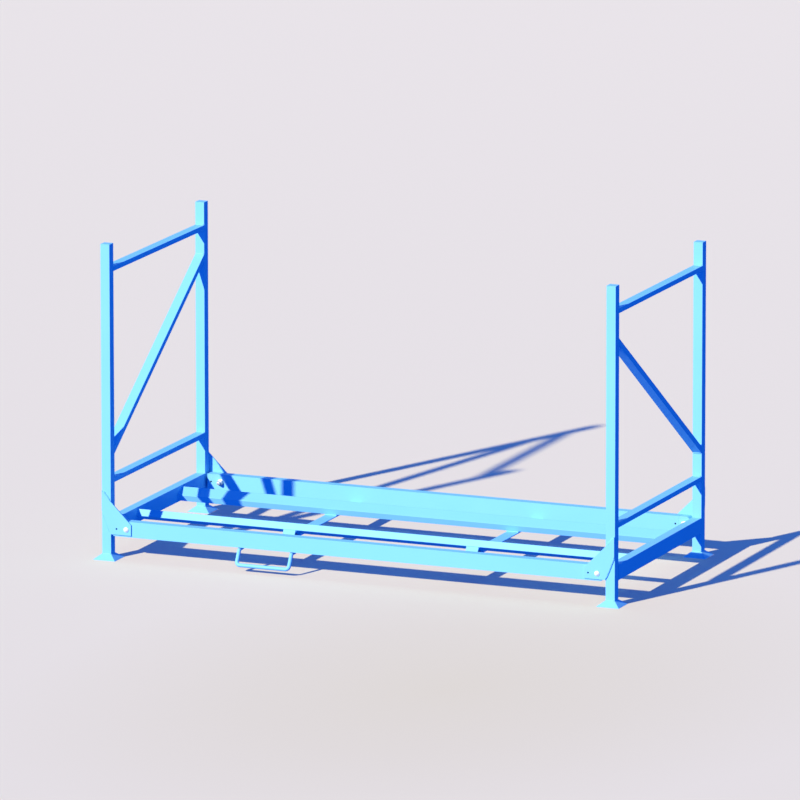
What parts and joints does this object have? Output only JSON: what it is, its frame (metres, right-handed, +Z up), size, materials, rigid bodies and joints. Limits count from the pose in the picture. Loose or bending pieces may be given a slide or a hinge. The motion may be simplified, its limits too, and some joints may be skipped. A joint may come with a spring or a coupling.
{
  "type": "foldable tyre storage rack",
  "caption": "Low tyre rack with tilted cradle rails, flared stacking feet, and two braced end frames hinged at the corner plates that fold flat over the base.",
  "frame": {"origin": "floor level at the centre of the footprint", "axes": "+X along the row of tyres (the longest side), +Y to the rear, +Z up; the pull handle is at the front, -Y"},
  "size_m": [1.726, 0.792, 0.98],
  "materials": {
    "blue_powder_coat": "azure satin powder coat",
    "zinc_hardware": "bright zinc plate",
    "bush_bronze": "oiled sintered bronze"
  },
  "bodies": {
    "base": {"front_rail": "blue_powder_coat", "rear_rail": "blue_powder_coat", "left_rail_end_plates": "blue_powder_coat", "right_rail_ends": "blue_powder_coat", "pivot_bushes": "bush_bronze", "left_end_beam": "blue_powder_coat", "right_end_beam": "blue_powder_coat", "end_beam_caps": "blue_powder_coat", "front_cradle_rail": "blue_powder_coat", "rear_cradle_rail": "blue_powder_coat", "left_cross_strap": "blue_powder_coat", "right_cross_strap": "blue_powder_coat", "cradle_saddles": "blue_powder_coat", "pull_handle": "blue_powder_coat"},
    "left_end_frame": {"left_front_post": "blue_powder_coat", "left_rear_post": "blue_powder_coat", "left_top_bar": "blue_powder_coat", "left_mid_bar": "blue_powder_coat", "left_diagonal_brace": "blue_powder_coat", "left_front_gusset": "blue_powder_coat", "left_rear_gusset": "blue_powder_coat", "left_front_foot": "blue_powder_coat", "left_rear_foot": "blue_powder_coat", "left_post_caps": "blue_powder_coat", "left_pivot_bolts": "zinc_hardware", "left_pivot_washers": "zinc_hardware", "left_pivot_nuts": "zinc_hardware"},
    "right_end_frame": {"right_front_post": "blue_powder_coat", "right_rear_post": "blue_powder_coat", "right_top_bar": "blue_powder_coat", "right_mid_bar": "blue_powder_coat", "right_diagonal_brace": "blue_powder_coat", "right_front_gusset": "blue_powder_coat", "right_rear_gusset": "blue_powder_coat", "right_front_foot": "blue_powder_coat", "right_rear_foot": "blue_powder_coat", "right_post_caps": "blue_powder_coat", "right_pivot_bolts": "zinc_hardware", "right_pivot_washers": "zinc_hardware", "right_pivot_nuts": "zinc_hardware"}
  },
  "joints": [
    {"name": "left_frame_fold", "type": "hinge", "parent": "base", "child": "left_end_frame", "pos_m": [-0.759, 0, 0.098], "axis": [0, 1, 0], "range_deg": [0, 89.4]},
    {"name": "right_frame_fold", "type": "hinge", "parent": "base", "child": "right_end_frame", "pos_m": [0.785, 0, 0.098], "axis": [0, -1, 0], "range_deg": [0, 90]}
  ]
}
